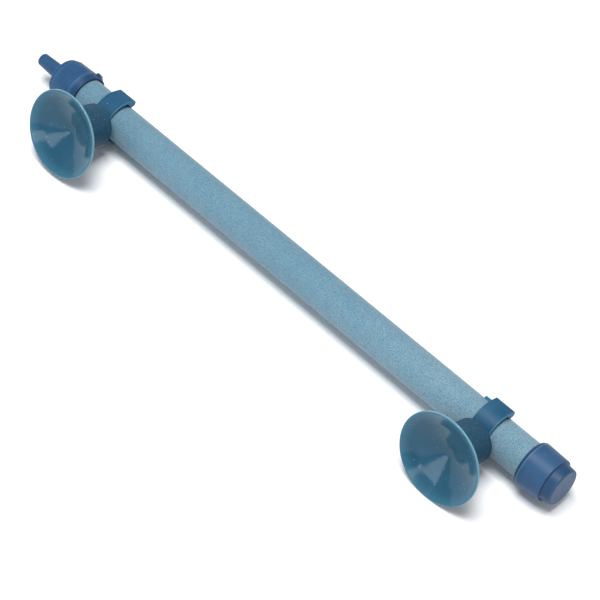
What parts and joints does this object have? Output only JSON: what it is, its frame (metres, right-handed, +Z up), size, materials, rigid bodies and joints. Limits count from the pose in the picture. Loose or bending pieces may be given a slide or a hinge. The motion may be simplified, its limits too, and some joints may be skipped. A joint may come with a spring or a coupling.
{
  "type": "bubble wall tube",
  "caption": "Aquarium bubble wall: a porous air tube with a nippled inlet cap, a closed end cap and suction cups on spring clips.",
  "frame": {"origin": "centre of the bounding box at the table it lies on", "axes": "+X along the tube towards the closed end cap, -Y the side the suction cups face, +Z up from the table"},
  "size_m": [0.303, 0.0454, 0.0386],
  "materials": {
    "porous_tube": "matt, finely grained",
    "cap_plastic": "satin",
    "clip_plastic": "satin",
    "cup_rubber": "soft satin"
  },
  "bodies": {
    "root": {"porous_tube": "porous_tube", "inlet_cap": "cap_plastic", "end_cap": "cap_plastic", "inlet_clip": "clip_plastic", "end_clip": "clip_plastic", "inlet_suction_cup": "cup_rubber", "end_suction_cup": "cup_rubber"}
  },
  "joints": []
}
